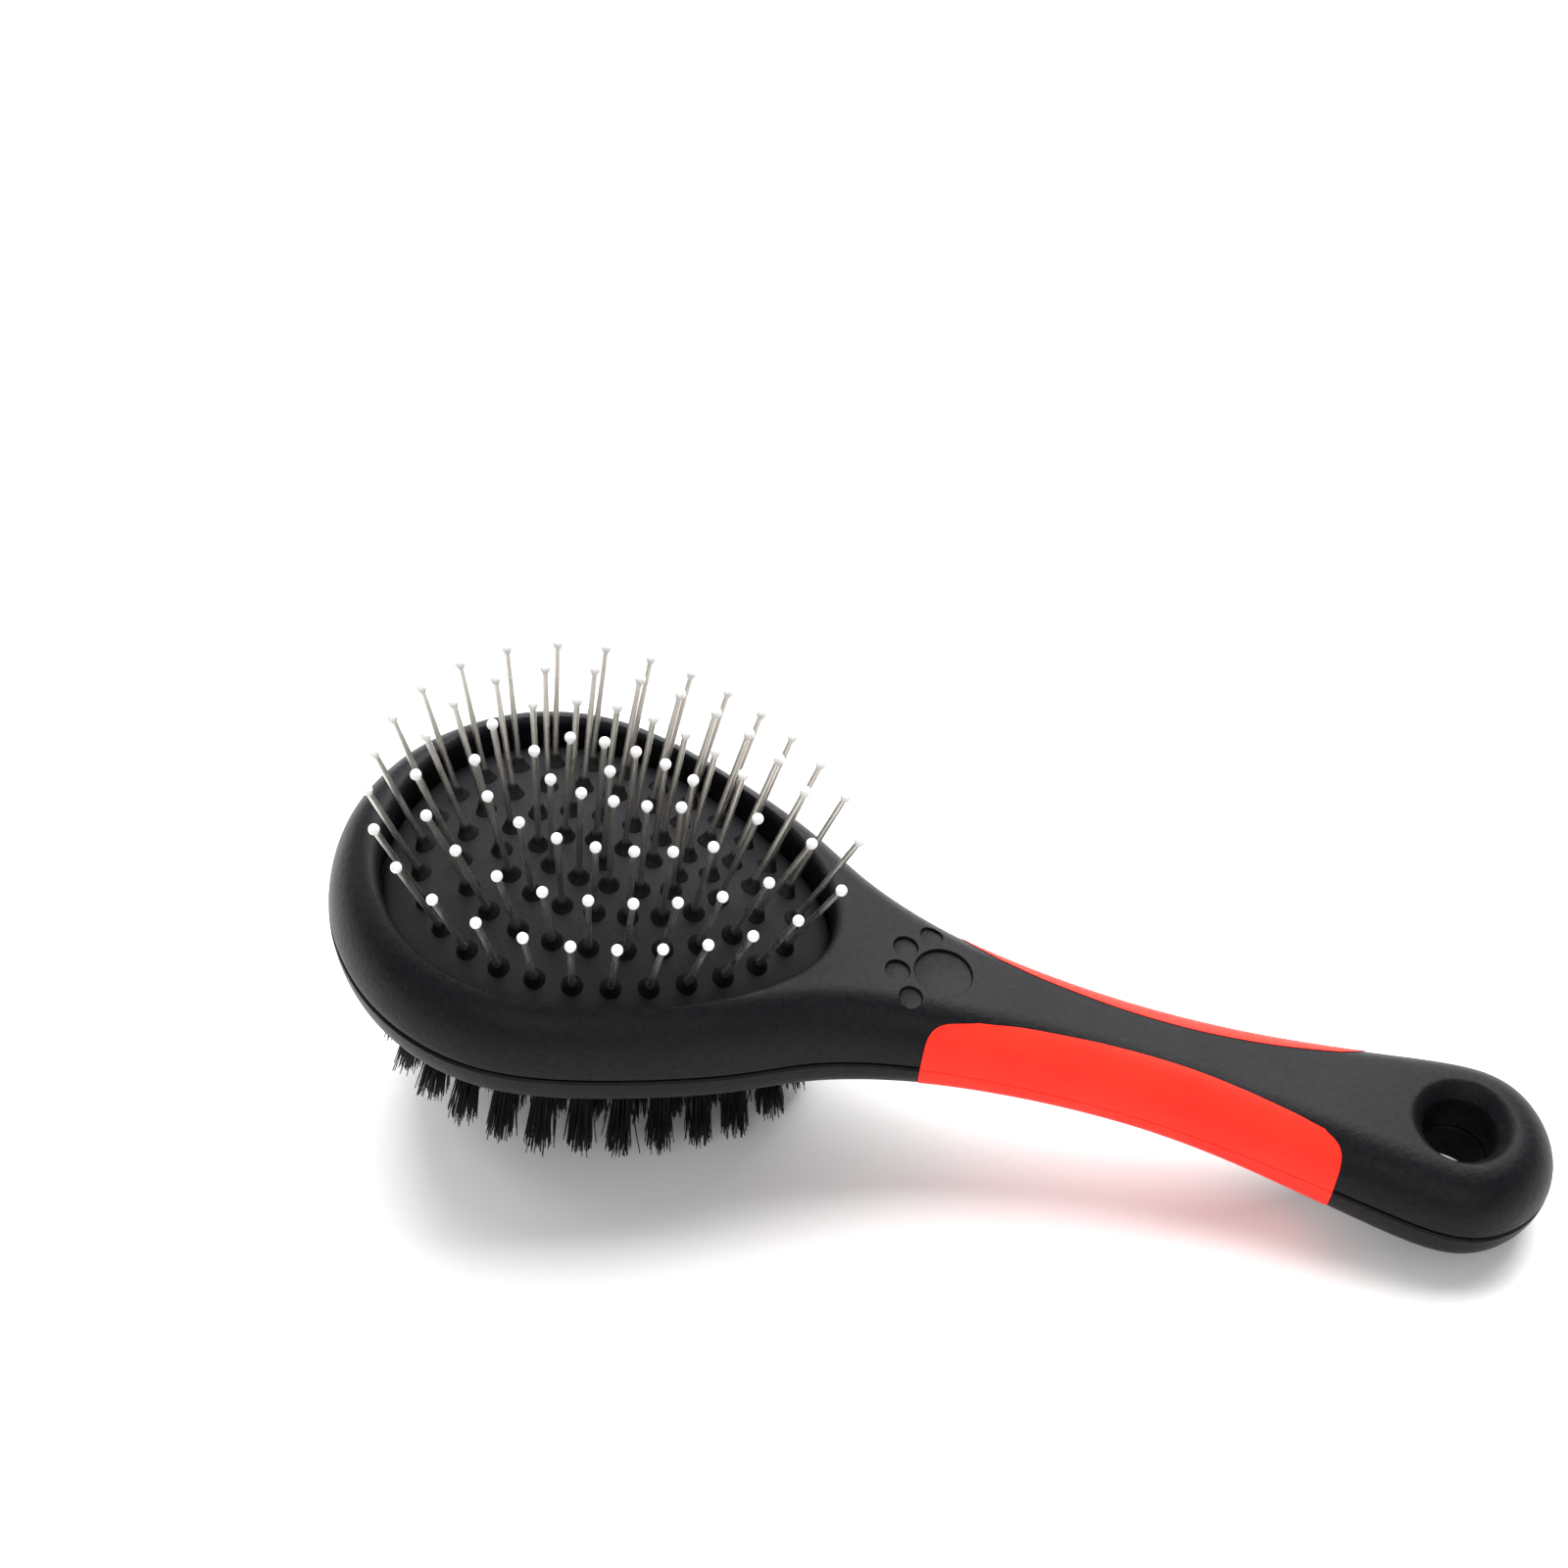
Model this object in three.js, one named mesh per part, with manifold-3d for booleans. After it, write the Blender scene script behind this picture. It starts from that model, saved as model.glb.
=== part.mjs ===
// Double-sided pet grooming brush: ball-tipped steel pins in a domed rubber cushion on one face,
// nylon bristle tufts on the other, two black plastic half shells, and a soft grip inset on
// each side of the handle. Millimetres, +Z up (pins up), +X from the head to the handle end.
import * as THREE from "three";
import Module from "manifold-3d";

const wasm = await Module();
wasm.setup();

// ---------- driving dimensions ----------
const LENGTH = 220; // overall length
const TIP_LEVEL = 31.5; // bristle tips below the parting plane
const EDGE_INSET = 8.1; // lateral extent of the rounded shell edge
const WALL = 2.4; // shell wall in the head
const HANDLE_WALL = 3.9; // shell wall in the handle
const PART_GAP = 0.15; // half of the gap between the two shells
const GAP = 0.35; // clearance between touching pieces
const OPENING = { cx: 50, a: 40.4, b: 31.5, egg: 0.24 }; // cushion opening in the pin side
const SKIRT = 2.2; // wall of the skirt that lines the opening
const SKIRT_BOTTOM = 4.5; // level of the skirt's lower edge
const PAD_EDGE_Z = 6.4; // cushion surface at its rim
const PAD_TOP_Z = 14.3; // cushion surface at its middle
const PAD_THICK = 2.0; // rubber thickness
const FLANGE_OUT = 1.9; // cushion flange past the opening
const PRESS_TRAVEL = 2.5; // how far the cushion sinks
const PIN_R = 0.5; // steel wire radius
const BALL_R = 1.05; // ball tip radius
const PIN_OUT = 24.6; // visible pin length
const TUFT_ROOT_R = 1.35; // tuft radius at the shell face
const TUFT_TIP_R = 2.15; // tuft radius at the cut ends
const HOLE_X = 202.4; // hanging hole
const HOLE_R = 6.5;
const COUNTERSINK_R = 8.3;
const COUNTERSINK_DEPTH = 2.6;
const GRIP_DEPTH = 1.7; // depth of the pocket for the soft grip
const GRIP_PROUD = 0.15; // how far the grip stands above the shell
const GRIP_X0 = 111.2;
const GRIP_X1 = 184.4;
const PAW_DEPTH = 0.7;

// half width of the parting outline along the brush, from the head tip to the handle end
const OUTLINE = [
  [0, 0], [0.9, 8], [4, 17], [9.5, 25.4], [18, 33.2], [29, 38.4], [39, 39.9], [50, 38.5], [61, 35.1],
  [72, 30.7], [83, 25.3], [93, 19.5], [103, 15.6], [114, 13.1], [127, 11.4], [146, 10.5], [162, 11.3],
  [176, 13.05], [188, 14.9], [198, 16.45], [204.5, 16.75], [210.5, 15.2], [215.5, 11.3], [218.9, 5.7], [220, 0],
];
// crown heights of the two faces above and below the parting plane
const TOP_Z = [[0, 13.2], [82, 13.2], [97, 12.1], [110, 10.5], [125, 9.8], [140, 9.4], [170, 9.2], [188, 9.9], [196, 10.3], [220, 10.3]];
const BOTTOM_Z = [[0, 11], [92, 11], [100, 10.5], [112, 9.2], [130, 8], [150, 7.4], [165, 8], [180, 9.6], [194, 10.6], [220, 10.6]];
// half width of the black strip between the two grips
const STRIP = [[111.2, 11.2], [112.4, 9.6], [115, 8.5], [119, 7.3], [126, 5.9], [133, 5], [140, 4.3], [147, 4], [154, 4.1], [160, 4.6], [167, 5.6], [173, 6.8], [178, 8], [181.4, 9.2], [183.4, 10.4], [184.4, 12]];

// ---------- helpers ----------
const lerpTable = (table, x) => {
  if (x <= table[0][0]) return table[0][1];
  for (let i = 1; i < table.length; i++) {
    if (x <= table[i][0]) {
      const [x0, y0] = table[i - 1], [x1, y1] = table[i];
      const t = (x - x0) / (x1 - x0);
      return y0 + (y1 - y0) * t;
    }
  }
  return table[table.length - 1][1];
};

function signedVolume(pos, tri) {
  let v = 0;
  for (let i = 0; i < tri.length; i += 3) {
    const [a, b, c] = [tri[i] * 3, tri[i + 1] * 3, tri[i + 2] * 3];
    v += pos[a] * (pos[b + 1] * pos[c + 2] - pos[b + 2] * pos[c + 1])
      + pos[a + 1] * (pos[b + 2] * pos[c] - pos[b] * pos[c + 2])
      + pos[a + 2] * (pos[b] * pos[c + 1] - pos[b + 1] * pos[c]);
  }
  return v;
}

function solid(pos, tri) {
  if (signedVolume(pos, tri) < 0) for (let i = 0; i < tri.length; i += 3) [tri[i], tri[i + 1]] = [tri[i + 1], tri[i]];
  return new wasm.Manifold(new wasm.Mesh({ numProp: 3, vertProperties: new Float32Array(pos), triVerts: new Uint32Array(tri) }));
}

// indices of a ring that is symmetric about the X axis, closed across its width as a ladder
function ladder(base, n, tri, flip) {
  const push = (a, b, c) => (flip ? tri.push(a, c, b) : tri.push(a, b, c));
  push(base, base + 1, base + n - 1);
  for (let i = 1; i < n / 2 - 1; i++) {
    push(base + i, base + i + 1, base + n - i - 1);
    push(base + i, base + n - i - 1, base + n - i);
  }
  push(base + n / 2 - 1, base + n / 2, base + n / 2 + 1);
}

// rings of equal length joined in order; ends closed by ladders, or the last ring joined to the first
function ringSolid(rings, loop = false) {
  const n = rings[0].length, pos = [], tri = [];
  for (const ring of rings) for (const p of ring) pos.push(...p);
  const last = loop ? rings.length : rings.length - 1;
  for (let r = 0; r < last; r++) {
    const a = r * n, b = ((r + 1) % rings.length) * n;
    for (let i = 0; i < n; i++) {
      const j = (i + 1) % n;
      tri.push(a + i, a + j, b + j, a + i, b + j, b + i);
    }
  }
  if (!loop) {
    ladder(0, n, tri, true);
    ladder((rings.length - 1) * n, n, tri, false);
  }
  return solid(pos, tri);
}

// a straight prism of any simple outline
function prism(outline, z0, z1) {
  const pts = outline.map(([x, y]) => new THREE.Vector2(x, y));
  if (THREE.ShapeUtils.isClockWise(pts)) pts.reverse();
  const faces = THREE.ShapeUtils.triangulateShape(pts, []);
  const n = pts.length, pos = [], tri = [];
  for (const z of [z0, z1]) for (const p of pts) pos.push(p.x, p.y, z);
  for (const [a, b, c] of faces) tri.push(a, c, b, n + a, n + b, n + c);
  for (let i = 0; i < n; i++) {
    const j = (i + 1) % n;
    tri.push(i, j, n + j, i, n + j, n + i);
  }
  return solid(pos, tri);
}

// a frustum between two points, with its own end radii and side count
function frustum(from, to, r0, r1, sides, level = false, turn = 0) {
  const a = new THREE.Vector3(...from), b = new THREE.Vector3(...to);
  const dir = b.clone().sub(a).normalize();
  const u = level ? new THREE.Vector3(1, 0, 0) : new THREE.Vector3(0, 1, 0).cross(dir).normalize();
  const v = level ? new THREE.Vector3(0, 1, 0) : dir.clone().cross(u);
  const pos = [], tri = [];
  for (const [c, r] of [[a, r0], [b, r1]]) for (let i = 0; i < sides; i++) {
    const t = (2 * Math.PI * i) / sides + turn;
    pos.push(...c.clone().addScaledVector(u, r * Math.cos(t)).addScaledVector(v, r * Math.sin(t)).toArray());
  }
  for (let i = 0; i < sides; i++) {
    const j = (i + 1) % sides;
    tri.push(i, j, sides + j, i, sides + j, sides + i);
    if (i > 0 && i < sides - 1) tri.push(0, i + 1, i, sides, sides + i, sides + i + 1);
  }
  return solid(pos, tri);
}

const circle = (cx, cy, r, n, turn = 0) =>
  Array.from({ length: n }, (_, i) => [cx + r * Math.cos((2 * Math.PI * i) / n + turn), cy + r * Math.sin((2 * Math.PI * i) / n + turn)]);

// closed parting outline moved inward by d, one point per station, symmetric about the X axis
function outlineRing(d) {
  const n = OUTLINE.length;
  const upper = OUTLINE.map(([x, y], i) => {
    const p = i > 0 ? OUTLINE[i - 1] : [OUTLINE[1][0], -OUTLINE[1][1]];
    const q = i < n - 1 ? OUTLINE[i + 1] : [OUTLINE[n - 2][0], -OUTLINE[n - 2][1]];
    const l = Math.hypot(q[0] - p[0], q[1] - p[1]);
    const nx = (q[1] - p[1]) / l, ny = -(q[0] - p[0]) / l;
    return [x + nx * d, i === 0 || i === n - 1 ? 0 : Math.max(y + ny * d, 0.4)];
  });
  const lower = upper.slice(1, -1).reverse().map(([x, y]) => [x, -y]);
  return [...upper, ...lower];
}

// one half of the brush body, rounded at its edge; off shrinks it evenly on every side
function halfBody(side, off, steps, base = PART_GAP) {
  const table = side > 0 ? TOP_Z : BOTTOM_Z;
  const rings = [];
  for (let k = 0; k <= steps; k++) {
    const t = (k / steps) * (Math.PI / 2);
    const d = off + (EDGE_INSET - off) * (1 - Math.cos(t));
    rings.push(outlineRing(d).map(([x, y]) => [x, y, side * (k === 0 ? base : base + (lerpTable(table, x) - off - base) * Math.sin(t))]));
  }
  return ringSolid(rings);
}

// egg outline round the cushion: off moves it outward
const eggPoint = (off, t) => {
  const c = Math.cos(t), s = Math.sin(t);
  return [OPENING.cx - (OPENING.a + off) * c, (OPENING.b + off) * s * (1 + OPENING.egg * c)];
};
const eggRing = (off, n) => Array.from({ length: n }, (_, i) => eggPoint(off, (2 * Math.PI * i) / n));
const box = (x0, x1, y0, y1, z0, z1) => prism([[x0, y0], [x1, y0], [x1, y1], [x0, y1]], z0, z1);
const unite = (list) => wasm.Manifold.union(list);

// ---------- pin and tuft layout: rings inside the egg, then one in the middle ----------
// level of the cushion surface at an offset from the opening's edge
const padSurface = (off) => {
  const s = Math.max(0, 1 + off / OPENING.b);
  return PAD_EDGE_Z + (PAD_TOP_Z - PAD_EDGE_Z) * (1 - s * s);
};

// points evenly spaced along an egg ring, with the outward direction at each
function spaced(off, count, phase) {
  const m = 720, pts = eggRing(off, m), len = [0];
  for (let i = 1; i <= m; i++) len.push(len[i - 1] + Math.hypot(pts[i % m][0] - pts[i - 1][0], pts[i % m][1] - pts[i - 1][1]));
  return Array.from({ length: count }, (_, k) => {
    const want = (((k + phase) / count) % 1) * len[m];
    let i = 1;
    while (len[i] < want) i++;
    const f = (want - len[i - 1]) / (len[i] - len[i - 1]);
    const a = pts[i - 1], b = pts[i % m];
    const x = a[0] + (b[0] - a[0]) * f, y = a[1] + (b[1] - a[1]) * f;
    const l = Math.hypot(b[0] - a[0], b[1] - a[1]);
    return { x, y, nx: -(b[1] - a[1]) / l, ny: (b[0] - a[0]) / l };
  });
}

const PIN_RINGS = [
  { off: -7, count: 28, phase: 0.5, lean: 23 },
  { off: -13.9, count: 22, phase: 0, lean: 20 },
  { off: -20.7, count: 17, phase: 0.5, lean: 12.5 },
  { off: -27, count: 11, phase: 0, lean: 4 },
];
const TUFT_RINGS = [
  { off: -6.3, count: 28, phase: 0, lean: 10 },
  { off: -13, count: 22, phase: 0.5, lean: 7 },
  { off: -19.7, count: 16, phase: 0, lean: 4 },
  { off: -26, count: 10, phase: 0.5, lean: 2 },
];

// ---------- pins ----------
function pinAxis(p, off, lean) {
  const a = (lean * Math.PI) / 180, z = padSurface(off);
  const dir = [p.nx * Math.sin(a), p.ny * Math.sin(a), Math.cos(a)];
  const at = (h) => [p.x + dir[0] * h, p.y + dir[1] * h, z + dir[2] * h];
  return { at, dir, foot: -(PAD_THICK + 1.5) };
}

function pinSolid(axis) {
  const prof = [[PIN_R, axis.foot], [PIN_R, PIN_OUT - 2], [BALL_R, PIN_OUT - 1.05], [0.45, PIN_OUT]];
  const dir = new THREE.Vector3(...axis.dir);
  const u = new THREE.Vector3(0, 1, 0).cross(dir).normalize(), v = dir.clone().cross(u);
  const sides = 4, pos = [], tri = [];
  for (const [r, h] of prof) for (let i = 0; i < sides; i++) {
    const t = (2 * Math.PI * i) / sides, c = axis.at(h);
    pos.push(...[0, 1, 2].map((k) => c[k] + r * (u.getComponent(k) * Math.cos(t) + v.getComponent(k) * Math.sin(t))));
  }
  for (let k = 0; k < prof.length - 1; k++) for (let i = 0; i < sides; i++) {
    const a = k * sides, b = a + sides, j = (i + 1) % sides;
    tri.push(a + i, a + j, b + j, a + i, b + j, b + i);
  }
  const e = (prof.length - 1) * sides;
  for (let i = 1; i < sides - 1; i++) tri.push(0, i + 1, i, e, e + i, e + i + 1);
  return solid(pos, tri);
}

// a square bar swept along a chain of hidden feet or roots
function rail(points, w, h) {
  const n = points.length, pos = [], tri = [];
  points.forEach((p, i) => {
    const a = points[Math.max(i - 1, 0)], b = points[Math.min(i + 1, n - 1)];
    const l = Math.hypot(b[0] - a[0], b[1] - a[1]) || 1;
    const tx = (b[0] - a[0]) / l, ty = (b[1] - a[1]) / l;
    const e = i === 0 ? -w * 0.45 : i === n - 1 ? w * 0.45 : 0;
    for (const [dy, dz] of [[-w / 2, -h / 2], [w / 2, -h / 2], [w / 2, h / 2], [-w / 2, h / 2]]) {
      pos.push(p[0] + tx * e - ty * dy, p[1] + ty * e + tx * dy, p[2] + dz);
    }
  });
  for (let i = 0; i < n - 1; i++) for (let k = 0; k < 4; k++) {
    const a = i * 4, b = a + 4, j = (k + 1) % 4;
    tri.push(a + k, a + j, b + j, a + k, b + j, b + k);
  }
  const e = (n - 1) * 4;
  tri.push(0, 2, 1, 0, 3, 2, e, e + 1, e + 2, e, e + 2, e + 3);
  return [solid(pos, tri)];
}

const arcs = (n, parts) => {
  const out = [];
  for (let i = 0; i < parts; i++) {
    const a = Math.round((i * n) / parts), b = Math.round(((i + 1) * n) / parts);
    out.push(Array.from({ length: b - a }, (_, k) => a + k));
  }
  return out;
};

const pinHoles = [], pinNodes = [];
PIN_RINGS.forEach((ring, r) => {
  const pts = spaced(ring.off, ring.count, ring.phase);
  const axes = pts.map((p) => pinAxis(p, ring.off, ring.lean));
  if (r === 3) {
    const middle = pinAxis({ x: OPENING.cx - 1.5, y: 0, nx: 0, ny: 0 }, -31, 0);
    axes.push(middle);
  }
  for (const a of axes) pinHoles.push(frustum(a.at(-PAD_THICK - 1.2), a.at(0.8), 0.95, 0.95, 4));
  const parts = [4, 3, 2, 1][r];
  arcs(ring.count, parts).forEach((ids, k) => {
    const list = ids.map((i) => axes[i]);
    const feet = list.map((a) => a.at(a.foot + 0.35));
    const body = [...list.map(pinSolid), ...rail(feet, 1.1, 0.8)];
    if (r === 3) {
      const m = axes[axes.length - 1], near = feet[2];
      body.push(pinSolid(m), ...rail([near, m.at(m.foot + 0.5)], 0.8, 0.5));
    }
    pinNodes.push([`pin_row_${["outer", "second", "third", "centre"][r]}${parts > 1 ? "_" + (k + 1) : ""}`, unite(body)]);
  });
});

// ---------- bristle tufts ----------
const tuftHoles = [], tuftNodes = [];
const FACE_Z = -11;
TUFT_RINGS.forEach((ring, r) => {
  const lean = Math.tan((ring.lean * Math.PI) / 180);
  const pts = spaced(ring.off, ring.count, ring.phase);
  if (r === 3) pts.push({ x: OPENING.cx - 4.5, y: 0, nx: 0, ny: 0 }, { x: OPENING.cx + 3.5, y: 0, nx: 0, ny: 0 });
  const at = (p, z) => [p.x + p.nx * lean * (FACE_Z - z), p.y + p.ny * lean * (FACE_Z - z), z];
  const one = (p) => frustum(at(p, -TIP_LEVEL), at(p, FACE_Z + WALL + 1.2), TUFT_TIP_R, TUFT_ROOT_R - 0.1, 4, true, Math.PI / 4);
  for (const p of pts) tuftHoles.push(frustum(at(p, FACE_Z - 1), at(p, FACE_Z + WALL + 1), TUFT_ROOT_R + 0.5, TUFT_ROOT_R + 0.5, 4, true, Math.PI / 4));
  const parts = [4, 3, 2, 1][r];
  arcs(ring.count, parts).forEach((ids, k) => {
    const list = ids.map((i) => pts[i]);
    const roots = list.map((p) => at(p, FACE_Z + WALL + 0.85));
    const body = [...list.map(one), ...rail(roots, 1.2, 0.7)];
    if (r === 3) {
      const m = pts.slice(ring.count).map((p) => at(p, FACE_Z + WALL + 0.85));
      body.push(...pts.slice(ring.count).map(one), ...rail([roots[0], m[0], m[1]], 0.9, 0.45));
    }
    tuftNodes.push([`bristle_row_${["outer", "second", "third", "centre"][r]}${parts > 1 ? "_" + (k + 1) : ""}`, unite(body)]);
  });
});

// ---------- shells ----------
const holeThrough = prism(circle(HOLE_X, 0, HOLE_R, 24), -20, 20);
function countersink(side) {
  const z = side > 0 ? lerpTable(TOP_Z, HOLE_X) : lerpTable(BOTTOM_Z, HOLE_X);
  const ring = (r, h) => circle(HOLE_X, 0, r, 24).map(([x, y]) => [x, y, side * h]);
  return ringSolid([ring(HOLE_R - 0.2, z - COUNTERSINK_DEPTH), ring(COUNTERSINK_R + 0.7, z + 1)]);
}

// plan outline of a grip pocket on one side, shrunk by g
function gripPlan(sideY, g) {
  const inner = STRIP.map(([x, y], i) => {
    const ends = i === 0 ? g : i === STRIP.length - 1 ? -g : 0;
    return [x + ends, sideY * (y + g)];
  }).filter(([x], i, a) => i === 0 || i === a.length - 1 || (x > a[0][0] + 0.3 && x < a[a.length - 1][0] - 0.3));
  return [...inner, [inner[inner.length - 1][0], sideY * 30], [inner[0][0], sideY * 30]];
}

function paw(side) {
  const z = (x) => (side > 0 ? lerpTable(TOP_Z, x) : lerpTable(BOTTOM_Z, x));
  const cut = (x, y, r, n) => {
    const h = z(x + r) - PAW_DEPTH + 0.25;
    return prism(circle(x, y, r, n), Math.min(side * h, side * 20), Math.max(side * h, side * 20));
  };
  const disc = cut(110.7, 0, 5.25, 20);
  return unite([disc, cut(103, 2.75, 2.3, 12), cut(103, -2.75, 2.3, 12), cut(106.8, 7.7, 2.1, 12), cut(106.8, -7.7, 2.1, 12)]);
}

const PEG_X = [98.5, 122, 170];
function shell(side) {
  const outer = halfBody(side, 0, 4);
  const lo = side > 0 ? -1 : -40, hi = side > 0 ? 40 : 1;
  const headCavity = halfBody(side, WALL, 2, -1).intersect(box(-5, 92, -60, 60, lo, hi));
  const handleCavity = halfBody(side, HANDLE_WALL, 2, -1).intersect(box(91, 187, -60, 60, lo, hi));
  let s = outer.subtract(headCavity.add(handleCavity));
  if (side > 0) {
    const skirt = prism(eggRing(SKIRT, 36), SKIRT_BOTTOM, 20).intersect(outer);
    s = s.add(skirt).subtract(prism(eggRing(0, 36), -5, 20));
    const sockets = PEG_X.map((x) => prism(circle(x, 0, 3.1, 8), PART_GAP, lerpTable(TOP_Z, x) - 2));
    const bores = PEG_X.map((x) => prism(circle(x, 0, 1.95, 8), -1, 5.2));
    s = s.add(unite(sockets)).subtract(unite(bores));
  } else {
    const seat = prism(eggRing(FLANGE_OUT - 0.2, 30), -11.5, -1.1).subtract(prism(eggRing(FLANGE_OUT - 1.9, 30), -12, 0)).intersect(outer);
    const pegs = PEG_X.map((x) => prism(circle(x, 0, 1.5, 8), -lerpTable(BOTTOM_Z, x) + 1, 4.4));
    s = s.add(seat).add(unite(pegs)).subtract(unite(tuftHoles));
  }
  s = s.subtract(holeThrough).subtract(countersink(side)).subtract(paw(side));
  const pockets = [];
  for (const sy of [1, -1]) pockets.push(prism(gripPlan(sy, 0), lo, hi));
  const core = halfBody(side, GRIP_DEPTH, 4, -2);
  s = s.subtract(unite(pockets).subtract(core));
  return s;
}

function grip(side, sy) {
  const lo = side > 0 ? -1 : -40, hi = side > 0 ? 40 : 1;
  const outer = halfBody(side, -GRIP_PROUD, 4);
  const core = halfBody(side, GRIP_DEPTH - GAP, 4, -2);
  return outer.subtract(core).intersect(prism(gripPlan(sy, GAP), lo, hi));
}

// ---------- cushion ----------
function cushion() {
  const n = 36, half = PAD_THICK;
  const at = (off, z) => eggRing(off, n).map(([x, y]) => [x, y, z]);
  const edge = -0.45;
  const rings = [];
  const offs = [-30, -23.8, -17.2, -10.5, -4, edge];
  for (const o of offs) rings.push(at(o, padSurface(o)));
  rings.push(at(edge, SKIRT_BOTTOM - 0.5));
  rings.push(at(FLANGE_OUT, SKIRT_BOTTOM - 0.5));
  rings.push(at(FLANGE_OUT, 1.6));
  rings.push(at(-3.4, 1.9));
  rings.push(at(-4, padSurface(-4) - half));
  for (const o of [-10.5, -17.2, -23.8, -30]) rings.push(at(o, padSurface(o) - half));
  return ringSolid(rings).subtract(unite(pinHoles));
}

// ---------- assembly ----------
const material = (color, roughness, metalness = 0) => new THREE.MeshStandardMaterial({ color, roughness, metalness });
const BLACK_PLASTIC = { color: 0x232426, rough: 0.55 };
const RED_GRIP = { color: 0xf03a24, rough: 0.6 };
const BLACK_RUBBER = { color: 0x1b1b1d, rough: 0.75 };
const STEEL = { color: 0xb9b6ae, rough: 0.28, metal: 1 };
const NYLON = { color: 0x0d0d0e, rough: 0.5 };

const brush = new THREE.Group();
function add(name, body, finish) {
  const mesh = body.asOriginal().simplify(0.03).getMesh();
  const geometry = new THREE.BufferGeometry();
  geometry.setAttribute("position", new THREE.BufferAttribute(new Float32Array(mesh.vertProperties), 3));
  geometry.setIndex(new THREE.BufferAttribute(new Uint32Array(mesh.triVerts), 1));
  geometry.computeVertexNormals();
  const m = new THREE.Mesh(geometry, material(finish.color, finish.rough, finish.metal ?? 0));
  m.name = name;
  m.position.set(-LENGTH / 2, 0, TIP_LEVEL);
  brush.add(m);
}

add("pin_side_shell", shell(1), BLACK_PLASTIC);
add("bristle_side_shell", shell(-1), BLACK_PLASTIC);
add("grip_left_upper", grip(1, 1), RED_GRIP);
add("grip_right_upper", grip(1, -1), RED_GRIP);
add("grip_left_lower", grip(-1, 1), RED_GRIP);
add("grip_right_lower", grip(-1, -1), RED_GRIP);
add("cushion_pad", cushion(), BLACK_RUBBER);
for (const [name, body] of pinNodes) add(name, body, STEEL);
for (const [name, body] of tuftNodes) add(name, body, NYLON);

export default brush;
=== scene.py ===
import math

import bpy
import numpy as np
from mathutils import Matrix, Vector


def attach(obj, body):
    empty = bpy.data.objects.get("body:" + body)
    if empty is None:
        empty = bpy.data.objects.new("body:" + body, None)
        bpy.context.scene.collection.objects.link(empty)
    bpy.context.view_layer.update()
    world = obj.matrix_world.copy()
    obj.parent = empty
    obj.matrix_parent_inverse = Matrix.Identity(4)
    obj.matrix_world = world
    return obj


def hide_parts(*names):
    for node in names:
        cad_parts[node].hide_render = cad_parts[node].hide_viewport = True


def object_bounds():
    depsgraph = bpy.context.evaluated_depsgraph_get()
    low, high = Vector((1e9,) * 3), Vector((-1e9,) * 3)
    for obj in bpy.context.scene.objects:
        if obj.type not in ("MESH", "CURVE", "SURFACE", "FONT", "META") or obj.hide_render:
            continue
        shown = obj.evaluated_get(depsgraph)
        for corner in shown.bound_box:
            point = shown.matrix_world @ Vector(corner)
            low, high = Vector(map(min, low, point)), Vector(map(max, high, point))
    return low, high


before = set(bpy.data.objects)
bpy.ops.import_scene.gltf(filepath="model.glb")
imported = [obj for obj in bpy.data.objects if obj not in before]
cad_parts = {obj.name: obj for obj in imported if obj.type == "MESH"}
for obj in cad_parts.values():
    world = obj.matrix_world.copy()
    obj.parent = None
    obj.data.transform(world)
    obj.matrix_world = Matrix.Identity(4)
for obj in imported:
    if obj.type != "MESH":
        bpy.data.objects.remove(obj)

CAD_BOX = [[float(v) for v in corner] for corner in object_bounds()]
# brush coordinates in mm (head tip at x = 0, parting plane at z = 0) to the row frame
ORIGIN = np.array([CAD_BOX[0][0] * 1000, (CAD_BOX[0][1] + CAD_BOX[1][1]) * 500, CAD_BOX[0][2] * 1000 + 31.5])
RNG = np.random.default_rng(4711)

# ------------------------------------------------------------------ camera, floor, light
CAM_ROT = np.array([
    [0.9560216585551538, 0.2792817376567138, 0.08957845379832935],
    [0.2653825331417745, -0.693661285848118, -0.669631332154857],
    [-0.12487869658755323, 0.6639546155626767, -0.7372717135572285]])
CAM_POS = np.array([145.50803768, -356.42891469, 442.36576398])


def to_row(p):
    return (np.asarray(p, float) + ORIGIN) / 1000.0


cam_data = bpy.data.cameras.new("camera")
cam_data.sensor_width = 36.0
cam_data.lens = 3300.03 * 36.0 / 1600.0
cam_data.clip_start = 0.01
cam_data.clip_end = 50.0
camera = bpy.data.objects.new("camera", cam_data)
bpy.context.scene.collection.objects.link(camera)
m = np.eye(4)
m[:3, 0], m[:3, 1], m[:3, 2] = CAM_ROT[0], -CAM_ROT[1], -CAM_ROT[2]
m[:3, 3] = to_row(CAM_POS)
camera.matrix_world = Matrix(m.tolist())
bpy.context.scene.camera = camera

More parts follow.
